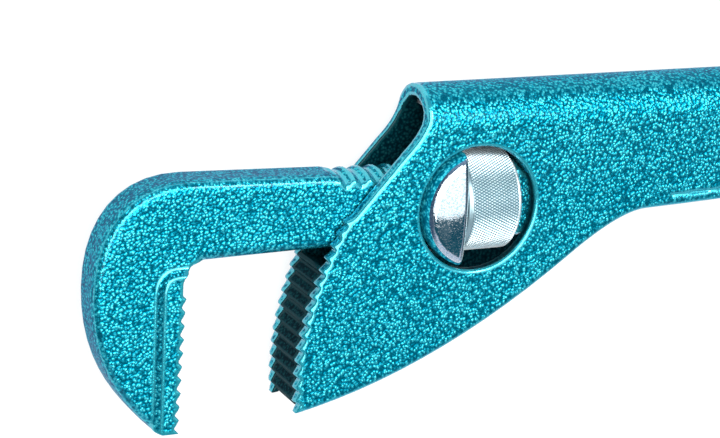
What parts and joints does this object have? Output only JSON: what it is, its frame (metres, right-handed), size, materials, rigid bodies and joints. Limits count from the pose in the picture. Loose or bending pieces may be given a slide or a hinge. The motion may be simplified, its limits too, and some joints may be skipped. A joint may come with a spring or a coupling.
{
  "type": "pipe wrench",
  "caption": "Single-handed pipe wrench with a folded sheet handle, a toothed heel, and a sliding hook jaw set by a knurled nut in round windows.",
  "frame": {"origin": "centre of the bounding box in X and Y, at its lowest point in Z; the wrench lies on one side", "axes": "+X along the shank from the hook to the end of the grip, +Y towards the folded top of the handle, +Z out of the upper cheek"},
  "size_m": [0.3226, 0.0842, 0.0284],
  "materials": {
    "hammered_paint": "glossy hammered enamel, bright cyan cells on darker teal",
    "bright_zinc": "zinc plated steel, diamond knurl with smooth ends",
    "polished_chrome": "mirror polished plating",
    "spring_steel": "bright tempered strip"
  },
  "bodies": {
    "handle": {"handle_shell": "hammered_paint", "heel_jaw": "hammered_paint", "heel_jaw_rivet_1": "hammered_paint", "heel_jaw_rivet_2": "hammered_paint", "heel_jaw_rivet_3": "hammered_paint", "leaf_spring": "spring_steel", "spring_rivet": "hammered_paint"},
    "thrust_block": {"thrust_block": "polished_chrome"},
    "hook": {"hook_jaw": "hammered_paint"},
    "nut": {"adjusting_nut": "bright_zinc"}
  },
  "joints": [
    {"name": "jaw_rock", "type": "hinge", "parent": "handle", "child": "thrust_block", "pos_m": [-0.06065, 0.01095, 0.01421], "axis": [0, 0, 1], "range_deg": [-2.5, 2.5], "stiffness_Nm_per_rad": 4},
    {"name": "jaw_slide", "type": "slide", "parent": "thrust_block", "child": "hook", "axis": [1, 0, 0], "range_m": [-0.017, 0.023]},
    {"name": "nut_spin", "type": "hinge", "parent": "thrust_block", "child": "nut", "pos_m": [-0.06065, 0.01095, 0.01421], "axis": [1, 0, 0], "range_deg": [-1975, 1460]}
  ],
  "couplings": [
    {"joint": "nut_spin", "follows": "jaw_slide", "rad_per_m": -1496}
  ]
}
